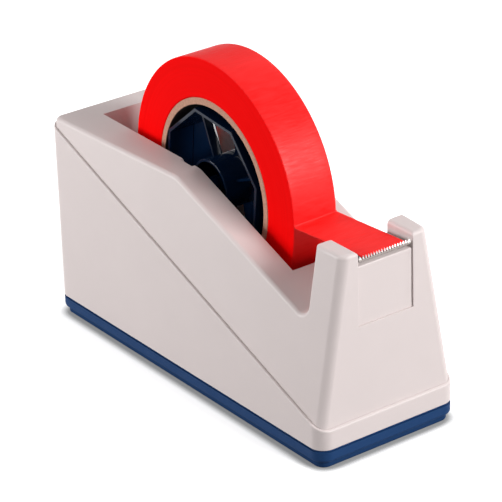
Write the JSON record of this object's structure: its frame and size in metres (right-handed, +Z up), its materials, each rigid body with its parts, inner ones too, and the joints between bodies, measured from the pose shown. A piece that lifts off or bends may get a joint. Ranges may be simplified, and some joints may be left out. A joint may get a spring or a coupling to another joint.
{
  "type": "tape dispenser",
  "caption": "Weighted desktop tape dispenser: leaning moulded housing on a base tray, lift-out reel on an axle pin in open grooves, and a serrated blade between two horns.",
  "frame": {"origin": "middle of the footprint, on the surface the dispenser stands on", "axes": "+X along the length towards the cutter, +Y across the width, +Z up"},
  "size_m": [0.2092, 0.0784, 0.1541],
  "materials": {
    "beige_plastic": "satin moulded",
    "navy_plastic": "satin moulded",
    "navy_rubber": "matt",
    "hub_plastic": "gloss moulded",
    "cast_iron": "raw cast",
    "screw_steel": "zinc plated",
    "blade_steel": "bright",
    "core_card": "raw cardboard",
    "tape_red": "creped paper tape"
  },
  "bodies": {
    "body": {"housing": "beige_plastic", "base_tray": "navy_plastic", "anti_slip_pad": "navy_rubber", "ballast_rear": "cast_iron", "ballast_front": "cast_iron", "housing_screw_1": "screw_steel", "ballast_screw_1": "screw_steel", "housing_screw_2": "screw_steel", "ballast_screw_2": "screw_steel", "housing_screw_3": "screw_steel", "ballast_screw_3": "screw_steel", "housing_screw_4": "screw_steel", "ballast_screw_4": "screw_steel", "cutter_block": "beige_plastic", "cutter_block_screw_1": "screw_steel", "blade_rivet_1": "screw_steel", "cutter_block_screw_2": "screw_steel", "blade_rivet_2": "screw_steel", "cutter_blade": "blade_steel"},
    "axle": {"axle_pin": "screw_steel", "axle_spacer_left": "navy_plastic", "axle_spacer_right": "navy_plastic", "tape_leader": "tape_red"},
    "reel": {"hub_half_left": "hub_plastic", "hub_half_right": "hub_plastic", "tape_core": "core_card", "tape_roll": "tape_red"}
  },
  "joints": [
    {"name": "axle_lift", "type": "slide", "parent": "body", "child": "axle", "axis": [-0.7902, 0, 0.6129], "range_m": [0, 0.022]},
    {"name": "reel_spin", "type": "hinge", "parent": "axle", "child": "reel", "pos_m": [-0.008, 0, 0.0929], "axis": [0, 1, 0], "continuous": true}
  ]
}
